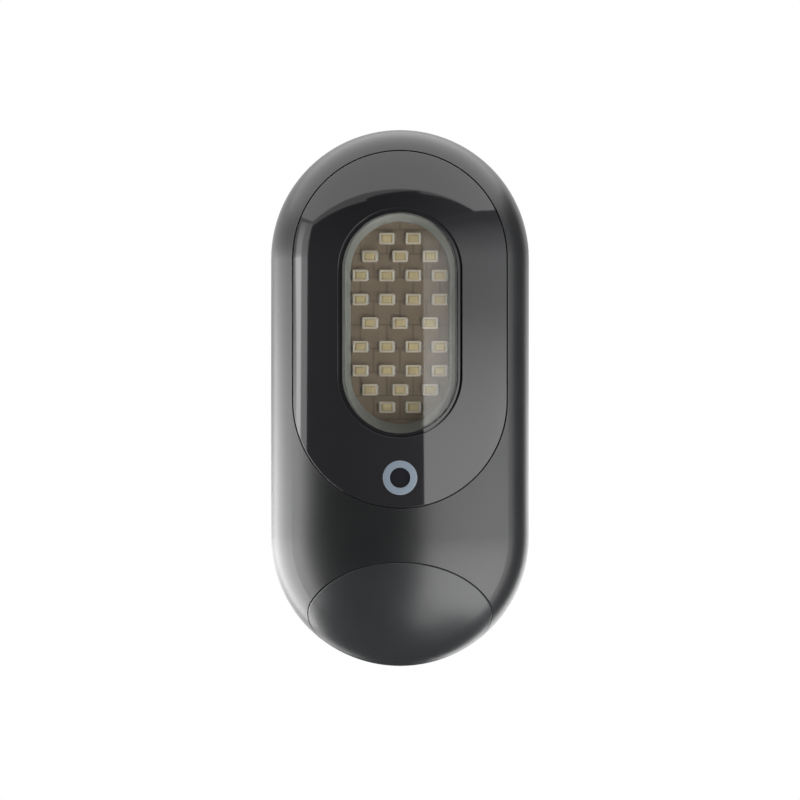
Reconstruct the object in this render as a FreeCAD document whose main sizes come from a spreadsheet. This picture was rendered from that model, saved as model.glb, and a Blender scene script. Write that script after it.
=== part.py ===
import FreeCAD, Part
import math
import os

import Sketcher

# Driving sizes in millimetres. X runs across the light, Y from front to back, Z up.
SIZES = {
    # Housing: a pill seen from the front, crowned in front and flat at the back.
    "body_width": 64.0,
    "straight_height": 69.0,
    "crown_radius": 40.0,
    "edge_radius": 16.0,
    "side_front": 10.0,
    "side_rear": 13.9,
    "rear_radius": 8.0,
    "shell_wall": 2.2,
    # Joint between the two housings, with its seal in a groove of the rear one.
    "rim_wall": 3.8,
    "rim_height": 4.0,
    "seal_width": 1.4,
    "seal_height": 1.2,
    "seal_inset": 1.2,
    "reveal_width": 0.4,
    "reveal_depth": 0.3,
    # Glossy window on its ledge.
    "window_margin": 5.5,
    "window_span": 35.1,
    "window_gap": 0.25,
    "window_thick": 2.0,
    "ledge_width": 2.0,
    "ledge_thick": 2.0,
    "ledge_start": 5.6,
    "glue_thick": 0.3,
    # Clear lens over the lamps.
    "lens_radius": 14.0,
    "lens_span": 25.8,
    "lens_below": 3.2,
    "lens_gap": 0.15,
    "lens_thick": 2.0,
    "flange_width": 1.4,
    "flange_thick": 1.0,
    "bevel_width": 1.1,
    "bevel_depth": 0.7,
    # Lamp module: reflector, board, packages and heat sink.
    "lamp_depth": 8.7,
    "tray_floor_radius": 11.4,
    "tray_mouth_radius": 13.8,
    "tray_wall": 1.4,
    "tray_base": 1.0,
    "lamp_board_radius": 17.0,
    "lamp_board_thick": 1.6,
    "package_width": 3.5,
    "package_height": 2.8,
    "package_thick": 0.8,
    "package_rim": 0.45,
    "phosphor_depth": 0.15,
    "lamp_pitch": 6.4,
    "lamp_spread": 7.3,
    "row_1": 5.8,
    "row_2": 11.7,
    "row_3": 16.4,
    "row_4": 20.7,
    "sink_thick": 2.5,
    "ear_width": 18.0,
    "ear_reach": 34.8,
    "ear_hole_x": 6.0,
    "ear_hole_z": 32.2,
    "fin_thick": 1.2,
    "fin_pitch": 4.6,
    "fin_gap": 1.8,
    "fin_height": 52.0,
    "post_radius": 2.4,
    # Dusk sensor under the lamps.
    "dusk_below": 18.9,
    "dusk_ring_radius": 4.2,
    "dusk_ring_thick": 1.0,
    "dusk_pipe_radius": 2.5,
    "dusk_stem_radius": 2.0,
    "dusk_chip": 3.0,
    "dusk_eye_radius": 0.9,
    "dusk_eye_depth": 0.75,
    # Lens of the motion sensor, the chin below a slanting seam.
    "chin_reach": 11.13,
    "chin_gap": 0.25,
    "chin_wall": 1.6,
    "chin_lip_reach": 3.0,
    "chin_lip_thick": 1.4,
    "facet_pitch": 1.4,
    "facet_groove": 0.4,
    # Motion sensor on its wedge.
    "wedge_width": 20.0,
    "wedge_depth": 10.5,
    "wedge_above": 3.5,
    "wedge_step": 2.0,
    "pir_board_width": 22.0,
    "pir_board_length": 14.0,
    "pir_board_thick": 1.2,
    "pir_can_radius": 4.6,
    "pir_can_height": 4.2,
    "pir_rim_radius": 5.0,
    "pir_window": 4.1,
    "pir_window_depth": 0.3,
    # Main board on posts of the battery bay.
    "main_board_width": 42.0,
    "main_board_top": 44.0,
    "main_board_bottom": 29.0,
    "board_thick": 1.6,
    "board_space": 7.4,
    "board_post_x": 17.5,
    "board_post_top": 16.0,
    "board_post_bottom": 24.0,
    "board_post_radius": 2.4,
    "capacitor_radius": 3.0,
    "capacitor_gap": 1.9,
    "capacitor_drop": 24.0,
    "radio_width": 18.0,
    "radio_length": 26.0,
    "radio_thick": 0.8,
    "radio_rise": 12.0,
    "radio_left": 4.0,
    "shield_margin": 2.0,
    "shield_length": 16.0,
    "shield_height": 2.6,
    # Battery pack in its bay.
    "pack_width": 39.0,
    "pack_depth": 20.4,
    "pack_height": 70.0,
    "pack_radius": 9.2,
    "pack_gap": 0.5,
    "pack_centre_drop": 4.0,
    "bay_wall": 1.6,
    "contact_width": 3.0,
    "contact_pitch": 6.0,
    # Battery door, flush in the back and hinged on a pin along one side.
    "door_margin": 9.0,
    "door_height": 77.0,
    "door_corner": 4.0,
    "door_thick": 2.6,
    "door_gap": 0.3,
    "frame_thick": 2.2,
    "frame_drop": 0.3,
    "gasket_width": 1.2,
    "gasket_groove": 1.0,
    "gasket_proud": 0.2,
    "pin_radius": 0.8,
    "pin_play": 0.05,
    "ear_length": 5.0,
    "ear_spread": 55.0,
    "notch_length": 14.0,
    "notch_width": 2.0,
    "notch_depth": 1.7,
    "bead_radius": 0.5,
    "bead_proud": 0.2,
    "bead_length": 20.0,
    "grip_count": 3,
    "grip_width": 0.8,
    "grip_depth": 0.4,
    "grip_pitch": 2.0,
    "grip_inset": 2.0,
    "ear_foot": 0.5,
    # Screws.
    "boss_radius": 3.3,
    "case_screw_radius": 1.5,
    "case_head_radius": 2.4,
    "case_head_height": 1.9,
    "case_grip": 6.0,
    "case_bite": 9.0,
    "boss_floor": 2.0,
    "tip_gap": 0.5,
    "upper_screw_x": 14.5,
    "upper_screw_z": 50.0,
    "lower_screw_x": 9.0,
    "lower_screw_z": 54.0,
    "small_screw_radius": 1.0,
    "small_head_radius": 1.9,
    "small_head_height": 1.3,
    "small_bite": 4.0,
    "pilot_spare": 0.3,
    "screw_play": 0.2,
    # Stand socket, a brass insert for a quarter-inch camera thread.
    "socket_rise": 47.0,
    "socket_bore": 2.55,
    "socket_length": 9.0,
    "insert_radius": 4.0,
    "socket_wall": 2.5,
    "socket_floor": 0.5,
    # Pairing button on the back and the switch that it reaches.
    "button_x": 16.0,
    "button_z": 40.5,
    "button_radius": 2.9,
    "button_play": 0.3,
    "button_flange": 3.9,
    "button_flange_thick": 1.2,
    "button_travel": 0.5,
    "stem_radius": 1.4,
    "stem_gap": 0.05,
    "switch_size": 6.0,
    "switch_height": 3.5,
    "plunger_radius": 1.6,
    "plunger_height": 1.0,
}


# Every cutting tool runs this far past what it cuts.
OVER = 1.0


class Size:
    """A number in millimetres together with the sheet formula that gives it."""

    def __init__(self, value, text):
        self.value = value
        self.text = text

    def __add__(self, other):
        other = as_size(other)
        return Size(self.value + other.value, f"({self.text} + {other.text})")

    def __radd__(self, other):
        return as_size(other) + self

    def __sub__(self, other):
        other = as_size(other)
        return Size(self.value - other.value, f"({self.text} - {other.text})")

    def __rsub__(self, other):
        return as_size(other) - self

    def __mul__(self, other):
        other = as_size(other)
        return Size(self.value * other.value, f"({self.text} * {other.text})")

    __rmul__ = __mul__

    def __truediv__(self, other):
        other = as_size(other)
        return Size(self.value / other.value, f"({self.text} / {other.text})")

    def __neg__(self):
        return Size(-self.value, f"(-1 * {self.text})")

    @property
    def is_linked(self):
        return "Sizes." in self.text


def as_size(number):
    return number if isinstance(number, Size) else Size(float(number), repr(float(number)))


def root(size):
    return Size(math.sqrt(size.value), f"sqrt({size.text})")


def angle_of(rise, run):
    """The angle, in degrees, of a slope with this rise over this run."""
    slope_size = rise / run
    return Size(math.degrees(math.atan(slope_size.value)), f"atan({slope_size.text})")


class Sheet:
    """The spreadsheet of driving sizes, read by name."""

    def __init__(self, document, sizes):
        self.cells = document.addObject("Spreadsheet::Sheet", "Sizes")
        self.sizes = sizes
        for row, (alias, number) in enumerate(sizes.items(), start=1):
            self.cells.set(f"A{row}", alias.replace("_", " "))
            self.cells.set(f"B{row}", str(number))
            self.cells.setAlias(f"B{row}", alias)

    def __getattr__(self, alias):
        return Size(self.sizes[alias], f"Sizes.{alias}")


doc = FreeCAD.newDocument("MotionFloodlight")
S = Sheet(doc, SIZES)
doc.recompute()
made = {}
places = {}
shared = {}


def bind(thing, path, size):
    size = as_size(size)
    if size.is_linked:
        thing.setExpression(path, size.text)
    return size.value


def vector(point):
    return FreeCAD.Vector(*[as_size(value).value for value in point])


def place(thing, at):
    places[thing.Name] = at
    thing.Placement.Base = vector(at)
    for axis, size in zip("xyz", at):
        bind(thing, f"Placement.Base.{axis}", size)


def name_for(label):
    """Give helpers of one sub-part running names, such as rear_housing_2."""
    made[label] = made.get(label, 0) + 1
    return f"{label}_{made[label]}"


def set_datum(sketch, index, size):
    if size.is_linked:
        name = f"size_{index}"
        sketch.renameConstraint(index, name)
        sketch.setExpression(f"Constraints.{name}", size.text)


def pin(sketch, geometry, point, place_uv):
    """Hold one point of the sketch at its distances from the sketch's origin."""
    for kind, size in zip(("DistanceX", "DistanceY"), place_uv):
        size = as_size(size)
        index = sketch.addConstraint(
            Sketcher.Constraint(kind, -1, 1, geometry, point, size.value)
        )
        set_datum(sketch, index, size)


def arc_edge(start, end, centre, turn):
    middle = vector((*centre, 0))
    first, last = vector((*start, 0)) - middle, vector((*end, 0)) - middle
    if turn < 0:
        first, last = last, first
    begin = math.atan2(first.y, first.x)
    finish = math.atan2(last.y, last.x)
    if finish <= begin + 1e-9:
        finish += 2 * math.pi
    circle = Part.Circle(middle, FreeCAD.Vector(0, 0, 1), first.Length)
    return Part.ArcOfCircle(circle, begin, finish)


def draw(sketch, outline):
    """Draw a closed outline of corners; a corner with a centre ends an arc."""
    ends = []
    for index, step in enumerate(outline):
        start = outline[index - 1][0]
        end = step[0]
        if len(step) == 1:
            geometry = sketch.addGeometry(
                Part.LineSegment(vector((*start, 0)), vector((*end, 0))), False
            )
            ends.append((geometry, 1, 2))
        else:
            geometry = sketch.addGeometry(arc_edge(start, end, step[1], step[2]), False)
            ends.append((geometry, 1, 2) if step[2] > 0 else (geometry, 2, 1))
    for index, step in enumerate(outline):
        geometry, _, last = ends[index]
        following = ends[(index + 1) % len(ends)]
        sketch.addConstraint(
            Sketcher.Constraint("Coincident", geometry, last, following[0], following[1])
        )
        pin(sketch, geometry, last, step[0])
        if len(step) == 3:
            pin_centre(sketch, geometry, outline[index - 1][0], step)


def pin_centre(sketch, geometry, start, step):
    """Hold an arc's centre across its chord, the one way its two ends leave free."""
    end, centre, _ = step
    run = abs(as_size(end[0]).value - as_size(start[0]).value)
    rise = abs(as_size(end[1]).value - as_size(start[1]).value)
    kind, size = ("DistanceY", centre[1]) if run > rise else ("DistanceX", centre[0])
    size = as_size(size)
    index = sketch.addConstraint(Sketcher.Constraint(kind, -1, 1, geometry, 3, size.value))
    set_datum(sketch, index, size)


def plane_of(body, role):
    for feature in body.Origin.OriginFeatures:
        if feature.Role == role:
            return feature
    raise ValueError(role)


def sketch_on(body, role, outline, lift=0.0):
    sketch = body.newObject("Sketcher::SketchObject", name_for(body.Name + "_sketch"))
    sketch.AttachmentSupport = (plane_of(body, role), "")
    sketch.MapMode = "FlatFace"
    sketch.AttachmentOffset.Base = FreeCAD.Vector(0, 0, as_size(lift).value)
    bind(sketch, "AttachmentOffset.Base.z", lift)
    draw(sketch, outline)
    return sketch


def new_body(label):
    return doc.addObject("PartDesign::Body", name_for(label))


def pad(body, sketch, length, midplane=False, taper=0.0):
    feature = body.newObject("PartDesign::Pad", name_for(body.Name + "_pad"))
    feature.Profile = sketch
    feature.Length = as_size(length).value
    bind(feature, "Length", length)
    feature.TaperAngle = as_size(taper).value
    bind(feature, "TaperAngle", taper)
    feature.Midplane = midplane
    body.Tip = feature
    return feature


def revolve(body, sketch, degrees, reverse=False):
    feature = body.newObject("PartDesign::Revolution", name_for(body.Name + "_turn"))
    feature.Profile = sketch
    feature.ReferenceAxis = (sketch, ["V_Axis"])
    feature.Angle = degrees
    feature.Reversed = reverse
    body.Tip = feature
    return feature


def solid(kind, label, **sizes):
    """A Part primitive or boolean with its sizes bound to the sheet."""
    thing = doc.addObject(kind, name_for(label))
    for path, size in sizes.items():
        setattr(thing, path, as_size(size).value)
        bind(thing, path, size)
    return thing


def box(label, corner, length, width, height):
    thing = solid("Part::Box", label, Length=length, Width=width, Height=height)
    place(thing, corner)
    return thing


def rod(label, start, radius, height, direction="Z"):
    """A cylinder that starts at a point and runs along +X, +Y, -Y or +Z."""
    thing = solid("Part::Cylinder", label, Radius=radius, Height=height)
    turns = {"X": ((0, 1, 0), 90), "Y": ((1, 0, 0), -90), "-Y": ((1, 0, 0), 90), "Z": ((0, 0, 1), 0)}
    axis, angle = turns[direction]
    thing.Placement.Rotation = FreeCAD.Rotation(FreeCAD.Vector(*axis), angle)
    place(thing, start)
    return thing


def cut(label, base, *tools):
    tool = tools[0] if len(tools) == 1 else fuse(label, *tools)
    result = doc.addObject("Part::Cut", name_for(label))
    result.Base = base
    result.Tool = tool
    return result


def fuse(label, *parts):
    result = doc.addObject("Part::MultiFuse", name_for(label))
    result.Shapes = list(parts)
    return result


def common(label, first, second):
    result = doc.addObject("Part::Common", name_for(label))
    result.Base = first
    result.Tool = second
    return result


def group(label, parts):
    """Like pieces that share one node and stay separate solids."""
    result = doc.addObject("Part::Compound", name_for(label))
    result.Links = list(parts)
    return result


def stadium(label, radius, top, bottom, rear, depth, taper=0.0):
    """A slot-shaped prism from its rear face forward; top and bottom are arc centres."""
    body = new_body(label)
    outline = [
        ((radius, top),),
        ((-radius, top), (0, top), 1),
        ((-radius, bottom),),
        ((radius, bottom), (0, bottom), 1),
    ]
    pad(body, sketch_on(body, "XZ_Plane", outline, lift=-rear), depth, taper=taper)
    return body


half_height = S.straight_height / 2
half_width = S.body_width / 2
centre_gap = S.crown_radius - S.edge_radius
edge_x = half_width - S.edge_radius
centre_rise = root(centre_gap * centre_gap - edge_x * edge_x)
crown_y = centre_rise - S.side_front
crest_y = crown_y - S.crown_radius
back_y = S.side_rear + S.rear_radius


def crown_outline(inset, back):
    """Right half of the front's section: crest, shoulder arc, side and flat back."""
    crown = S.crown_radius - inset
    shoulder_x = edge_x * crown / centre_gap
    shoulder_y = crown_y - centre_rise * crown / centre_gap
    edge_centre = (edge_x, -S.side_front)
    return [
        ((0, crown_y - crown),),
        ((shoulder_x, shoulder_y), (0, crown_y), 1),
        ((half_width - inset, -S.side_front), edge_centre, 1),
        ((half_width - inset, back),),
        ((0, back),),
    ]


def rear_outline(inset, front):
    """Right half of the rear's section: side, rear corner and flat back."""
    corner = (half_width - S.rear_radius, back_y - S.rear_radius)
    return [
        ((0, front),),
        ((half_width - inset, front),),
        ((half_width - inset, corner[1]),),
        ((corner[0], back_y - inset), corner, 1),
        ((0, back_y - inset),),
    ]


def pill(label, outline):
    """Stretch a half section along Z, mirror it and turn it round both ends."""
    body = new_body(label)
    pad(body, sketch_on(body, "XY_Plane", outline), S.straight_height, midplane=True)
    body.Tip.recompute()
    mirror = body.newObject("PartDesign::Mirrored", name_for(label + "_mirror"))
    mirror.Originals = [body.Tip]
    mirror.MirrorPlane = (plane_of(body, "YZ_Plane"), [""])
    body.Tip = mirror
    for lift, reverse in ((half_height, True), (-half_height, False)):
        revolve(body, sketch_on(body, "XY_Plane", outline, lift=lift), 180, reverse)
    return body


def prism(label, outline, start, length):
    """A prism along Z from an outline in the XY plane."""
    body = new_body(label)
    pad(body, sketch_on(body, "XY_Plane", outline, lift=start), length)
    return body


def rounded(half_x, low, high, radius):
    """A rounded rectangle, centred across and between two heights."""
    return [
        ((half_x, low + radius), (half_x - radius, low + radius), 1),
        ((half_x, high - radius),),
        ((half_x - radius, high), (half_x - radius, high - radius), 1),
        ((-half_x + radius, high),),
        ((-half_x, high - radius), (-half_x + radius, high - radius), 1),
        ((-half_x, low + radius),),
        ((-half_x + radius, low), (-half_x + radius, low + radius), 1),
        ((half_x - radius, low),),
    ]


def leaf(half_x, low, high, radius):
    """A rectangle whose two corners away from the hinge are rounded."""
    return [
        ((half_x, low + radius), (half_x - radius, low + radius), 1),
        ((half_x, high - radius),),
        ((half_x - radius, high), (half_x - radius, high - radius), 1),
        ((-half_x, high),),
        ((-half_x, low),),
        ((half_x - radius, low),),
    ]


def plate(label, outline, rear, depth):
    """A plate facing forward from an outline in the XZ plane."""
    body = new_body(label)
    pad(body, sketch_on(body, "XZ_Plane", outline, lift=-rear), depth)
    return body


def crowned(inset, back=0):
    """The crowned front at a depth under its surface; one block serves every sub-part."""
    key = (as_size(inset).text, as_size(back).text)
    if key not in shared:
        shared[key] = pill("crowned_block", crown_outline(inset, back))
    return shared[key]


def skin(label, outer, inner, prism_shape):
    """The part of a prism that lies between two depths below the crowned front."""
    return cut(label, common(label, prism_shape, crowned(outer)), crowned(inner))


def slant(total):
    """All that lies below the chin's slanting seam, where depth plus drop pass a total."""
    key = ("slant", as_size(total).text)
    if key not in shared:
        body = shared[key] = new_body("slant_block")
        near, far = S.rear_radius, S.body_width
        outline = [
            ((near, -near - total),),
            ((-far, far - total),),
            ((-far, -near - total),),
        ]
        pad(body, sketch_on(body, "YZ_Plane", outline), 2 * far, midplane=True)
    return shared[key]


window_radius = half_width - S.window_margin
window_top = half_height
window_low = window_top - S.window_span
lens_top = window_top - S.lens_below
lens_low = lens_top - S.lens_span
lens_rise = (lens_top + lens_low) / 2
chin_tip = S.side_front + half_height + edge_x + S.edge_radius * math.sqrt(2)
chin_sum = chin_tip - S.chin_reach
wedge_top = half_height - S.wedge_above
dusk_z = window_low - S.dusk_below
lamp_y = crest_y + S.lamp_depth
lamp_back = lamp_y + S.lamp_board_thick
sink_back = lamp_back + S.sink_thick
door_inner = back_y - S.door_thick
ledge_y = door_inner - S.frame_drop
bay_floor = door_inner - 2 * S.pack_gap - S.pack_depth
tub_front = bay_floor - S.bay_wall
board_back = tub_front - S.board_space
board_front = board_back - S.board_thick
fin_depth = board_front - S.fin_gap - sink_back
door_width = 2 * (half_width - S.door_margin)
door_top = S.door_height / 2 - S.pack_centre_drop
door_low = -S.door_height / 2 - S.pack_centre_drop
bay_x = S.pack_width / 2 + S.pack_gap
bay_top = S.pack_height / 2 + S.pack_gap - S.pack_centre_drop
bay_low = -S.pack_height / 2 - S.pack_gap - S.pack_centre_drop
hinge_x = S.door_thick / 2 - door_width / 2
hinge_y = back_y - S.door_thick / 2
hinge_middle = -S.pack_centre_drop
ear_starts = (hinge_middle - S.ear_spread / 2 - S.ear_length, hinge_middle + S.ear_spread / 2)
head_seat = S.case_grip
case_screws = [
    (sign * x, z)
    for x, z in ((S.upper_screw_x, S.upper_screw_z), (S.lower_screw_x, -S.lower_screw_z))
    for sign in (-1, 1)
]
lamp_screws = [
    (sign * S.ear_hole_x, lens_rise + side * S.ear_hole_z)
    for side in (-1, 1)
    for sign in (-1, 1)
]
pilot_depth = S.small_bite + S.pilot_spare + OVER
board_screws = [
    (sign * S.board_post_x, z)
    for z in (S.board_post_top, -S.board_post_bottom)
    for sign in (-1, 1)
]


def rim_ring(label, inset, width, rear, depth):
    """A flat ring that follows the outline of the housing at an inset from its side."""
    outer = stadium(label, half_width - inset, half_height, -half_height, rear, depth)
    inner = stadium(
        label, half_width - inset - width, half_height, -half_height, rear + OVER, depth + 2 * OVER
    )
    return cut(label, outer, inner)


def boss_rib(label, x, z, depth):
    """A web from a screw boss out to the side wall, thin across."""
    centre_z = half_height if as_size(z).value > 0 else -half_height
    across, up = as_size(x), z - centre_z
    reach = root(across * across + up * up)
    angle = math.atan2(up.value, across.value)
    thing = solid(
        "Part::Box",
        label,
        Length=half_width - S.shell_wall / 2 - reach,
        Width=depth,
        Height=S.bay_wall,
    )
    thing.Placement.Rotation = FreeCAD.Rotation(FreeCAD.Vector(0, -1, 0), math.degrees(angle))
    offset = S.bay_wall / 2
    place(thing, (x + offset * math.sin(angle), -depth, z - offset * math.cos(angle)))
    return thing


def front_housing():
    label = "front_housing"
    void = crowned(S.shell_wall, -S.rim_height)
    throat = stadium(
        label, half_width - S.rim_wall, half_height, -half_height, OVER, S.rim_height * 2 + OVER
    )
    shell = cut(label, crowned(0), void, throat)
    backing = stadium(
        label,
        window_radius + S.ledge_width,
        window_top,
        window_low,
        -S.side_front - S.ledge_start,
        S.crown_radius,
    )
    seat = S.window_thick + S.glue_thick
    ledge = skin(label, S.shell_wall / 2, seat + S.ledge_thick, backing)
    pocket = cut(
        label,
        stadium(label, window_radius, window_top, window_low, 0, S.crown_radius),
        crowned(seat),
    )
    hole = stadium(
        label, window_radius - S.ledge_width, window_top, window_low, -S.rim_height * 2,
        S.crown_radius,
    )
    shell = cut(label, fuse(label, shell, ledge), pocket, hole)
    shell = cut(label, shell, slant(chin_sum - S.chin_gap))
    bosses = []
    for x, z in case_screws:
        depth = S.case_bite + S.boss_floor
        bosses.append(rod(label, (x, 0, z), S.boss_radius, depth, "-Y"))
        bosses.append(boss_rib(label, x, z, S.rim_height))
    pilots = [
        rod(label, (x, OVER, z), S.case_screw_radius, S.case_bite + OVER, "-Y") for x, z in case_screws
    ]
    return cut(label, fuse(label, shell, *bosses), *pilots)


def window_bezel():
    label = "window_bezel"
    radius = window_radius - S.window_gap
    prism_shape = stadium(label, radius, window_top, window_low, 0, S.crown_radius)
    pane = skin(label, 0, S.window_thick, prism_shape)
    posts = [
        rod(label, (x, lamp_back, z), S.post_radius, S.lamp_depth, "-Y") for x, z in lamp_screws
    ]
    posts = [common(label, post, crowned(S.window_thick / 2)) for post in posts]
    whole = fuse(label, pane, *posts)
    opening = S.lens_radius + S.lens_gap
    lens_hole = stadium(label, opening, lens_top, lens_low, 0, S.crown_radius)
    bevel = cut(
        label,
        stadium(label, opening + S.bevel_width, lens_top, lens_low, 0, S.crown_radius),
        crowned(S.bevel_depth),
    )
    pilots = [
        rod(label, (x, lamp_back + OVER, z), S.small_screw_radius, pilot_depth, "-Y")
        for x, z in lamp_screws
    ]
    ring_pocket = cut(
        label,
        rod(label, (0, 0, dusk_z), S.dusk_ring_radius, S.crown_radius, "-Y"),
        crowned(S.dusk_ring_thick),
    )
    pipe_hole = rod(label, (0, 0, dusk_z), S.dusk_pipe_radius, S.crown_radius, "-Y")
    return cut(label, whole, lens_hole, bevel, ring_pocket, pipe_hole, *pilots)


def bezel_glue():
    label = "bezel_seal"
    radius = window_radius - S.window_gap
    outer = stadium(label, radius, window_top, window_low, 0, S.crown_radius)
    inner = stadium(
        label, window_radius - S.ledge_width, window_top, window_low, OVER, S.crown_radius + 2 * OVER
    )
    return skin(label, S.window_thick, S.window_thick + S.glue_thick, cut(label, outer, inner))


def led_lens():
    label = "led_lens"
    back = S.lens_gap + S.lens_thick + S.glue_thick * 2
    core = stadium(label, S.lens_radius, lens_top, lens_low, 0, S.crown_radius)
    core = skin(label, S.lens_gap, back, core)
    flange_front = S.window_thick + S.glue_thick
    wide = stadium(label, S.lens_radius + S.flange_width, lens_top, lens_low, 0, S.crown_radius)
    middle = stadium(
        label, S.lens_radius - S.flange_width, lens_top, lens_low, OVER, S.crown_radius + 2 * OVER
    )
    flange = skin(label, flange_front, flange_front + S.flange_thick, cut(label, wide, middle))
    return fuse(label, core, flange)


def lens_gasket():
    label = "lens_gasket"
    wide = stadium(label, S.lens_radius + S.flange_width, lens_top, lens_low, 0, S.crown_radius)
    middle = stadium(
        label, S.lens_radius + S.lens_gap, lens_top, lens_low, OVER, S.crown_radius + 2 * OVER
    )
    return skin(label, S.window_thick, S.window_thick + S.glue_thick, cut(label, wide, middle))


def reflector_tray():
    """A pale wall round the lamps that opens out towards the lens, on a flat foot."""
    label = "reflector_tray"
    depth = S.lamp_depth - S.window_thick - S.glue_thick - S.flange_thick
    outer_radius = S.tray_mouth_radius + S.tray_wall
    wall = stadium(label, outer_radius, lens_top, lens_low, lamp_y, depth)
    reach = S.window_thick + S.glue_thick + S.flange_thick + S.lens_gap
    wall = common(label, wall, crowned(reach))
    base = stadium(
        label, S.lamp_board_radius - S.lens_gap, lens_top, lens_low, lamp_y, S.tray_base
    )
    flare = angle_of(S.tray_mouth_radius - S.tray_floor_radius, depth)
    hollow = stadium(
        label, S.tray_floor_radius, lens_top, lens_low, lamp_y + OVER, depth + 2 * OVER, flare
    )
    return cut(label, fuse(label, base, wall), hollow)


def led_board():
    return stadium(
        "led_board", S.lamp_board_radius, lens_top, lens_low, lamp_back, S.lamp_board_thick
    )


def lamp_places():
    """Centres of the 29 lamp packages, nine rows that narrow towards the round ends."""
    rows = ((0, 3), (S.row_1, 4), (S.row_2, 4), (S.row_3, 3), (S.row_4, 2))
    near, far = S.lamp_pitch / 2, S.lamp_pitch * 3 / 2
    columns = {2: (-near, near), 3: (-S.lamp_spread, 0, S.lamp_spread), 4: (-far, -near, near, far)}
    return [
        (x, lens_rise + side * z)
        for z, count in rows
        for side in ((1, -1) if z else (1,))
        for x in columns[count]
    ]


def led_packages():
    """Lamp packages, each with a shallow well for its phosphor."""
    label = "led_packages"
    rim = S.package_rim
    parts = []
    for x, z in lamp_places():
        left, low = x - S.package_width / 2, z - S.package_height / 2
        front = lamp_y - S.package_thick
        package = box(
            label, (left, front, low), S.package_width, S.package_thick, S.package_height
        )
        well = box(
            label,
            (left + rim, front - OVER, low + rim),
            S.package_width - 2 * rim,
            S.phosphor_depth + OVER,
            S.package_height - 2 * rim,
        )
        parts.append(cut(label, package, well))
    return group(label, parts)


def heat_sink():
    label = "heat_sink"
    plate_shape = stadium(
        label, S.lamp_board_radius, lens_top, lens_low, sink_back, S.sink_thick
    )
    ears = box(
        label,
        (-S.ear_width / 2, lamp_back, lens_rise - S.ear_reach),
        S.ear_width,
        S.sink_thick,
        2 * S.ear_reach,
    )
    fins = [
        box(
            label,
            (step * S.fin_pitch - S.fin_thick / 2, sink_back, lens_rise - S.fin_height / 2),
            S.fin_thick,
            fin_depth,
            S.fin_height,
        )
        for step in range(-3, 4)
    ]
    holes = [
        rod(
            label,
            (x, lamp_back - OVER, z),
            S.small_screw_radius + S.screw_play,
            S.sink_thick + 2 * OVER,
            "Y",
        )
        for x, z in lamp_screws
    ]
    seats = [
        rod(label, (x, sink_back, z), S.small_head_radius + S.screw_play, fin_depth + OVER, "Y")
        for x, z in lamp_screws
    ]
    return cut(label, fuse(label, plate_shape, ears, *fins), *holes, *seats)


def small_screw(label, x, seat_y, z, grip, facing):
    """A pan-head screw whose head lies on a seat and whose shank runs away from it."""
    along = "-Y" if facing > 0 else "Y"
    back = "Y" if facing > 0 else "-Y"
    head = rod(label, (x, seat_y, z), S.small_head_radius, S.small_head_height, back)
    shank = rod(label, (x, seat_y, z), S.small_screw_radius, grip + S.small_bite, along)
    return fuse(label, head, shank)


def led_screws():
    label = "led_screws"
    return group(
        label,
        [small_screw(label, x, sink_back, z, S.sink_thick, 1) for x, z in lamp_screws],
    )


def dusk_ring():
    label = "dusk_sensor_ring"
    ring = cut(
        label,
        rod(label, (0, 0, dusk_z), S.dusk_ring_radius, S.crown_radius, "-Y"),
        rod(label, (0, OVER, dusk_z), S.dusk_pipe_radius, S.crown_radius + 2 * OVER, "-Y"),
    )
    return skin(label, 0, S.dusk_ring_thick, ring)


def dusk_pipe():
    label = "dusk_light_pipe"
    head = rod(label, (0, 0, dusk_z), S.dusk_pipe_radius - S.pin_play, S.crown_radius, "-Y")
    head = skin(label, S.lens_gap * 2, S.window_thick, head)
    flange = rod(label, (0, 0, dusk_z), S.dusk_ring_radius, S.crown_radius, "-Y")
    flange = skin(label, S.window_thick, S.window_thick + S.flange_thick, flange)
    stem_start = board_front - S.flange_thick - S.glue_thick
    stem = rod(
        label,
        (0, stem_start, dusk_z),
        S.dusk_stem_radius,
        stem_start - crest_y - S.window_thick,
        "-Y",
    )
    return fuse(label, head, flange, stem)


def dusk_sensor():
    label = "dusk_sensor"
    half = S.dusk_chip / 2
    chip = box(
        label,
        (-half, board_front - S.flange_thick, dusk_z - half),
        S.dusk_chip,
        S.flange_thick,
        S.dusk_chip,
    )
    eye = rod(
        label,
        (0, board_front - S.dusk_eye_depth, dusk_z),
        S.dusk_eye_radius,
        S.flange_thick,
        "-Y",
    )
    return cut(label, chip, eye)


def main_board():
    label = "main_board"
    outline = rounded(
        S.main_board_width / 2, -S.main_board_bottom, S.main_board_top, S.board_post_radius
    )
    whole = plate(label, outline, board_back, S.board_thick)
    holes = [
        rod(
            label, (x, board_front - OVER, z), S.small_screw_radius + S.screw_play,
            S.board_thick + 2 * OVER, "Y",
        )
        for x, z in board_screws
    ]
    return cut(label, whole, *holes)


# Blocks on the main board: centre across, centre up, width, height and thickness.
BOARD_BLOCKS = {
    "driver": (-12, -14, 7, 7, 1.4),
    "inductor": (0, -14, 9, 9, 3.6),
    "charger": (11, -13, 5, 6, 1.2),
    "controller": (-6, 2, 8, 8, 1.0),
    "amplifier": (9, 4, 4, 5, 1.2),
    "regulator": (-14, 24, 6, 4, 1.6),
}
CAPACITORS_X = (-3, 5)


def board_parts():
    """Driver, inductor, controller and capacitors on the back of the main board."""
    label = "board_chips"
    parts = [
        box(label, (x - across / 2, board_back, z - up / 2), across, tall, up)
        for x, z, across, up, tall in BOARD_BLOCKS.values()
    ]
    for x in CAPACITORS_X:
        can = (x, board_back, -S.capacitor_drop)
        parts.append(rod(label, can, S.capacitor_radius, S.board_space - S.capacitor_gap, "Y"))
    return group(label, parts)


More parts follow.
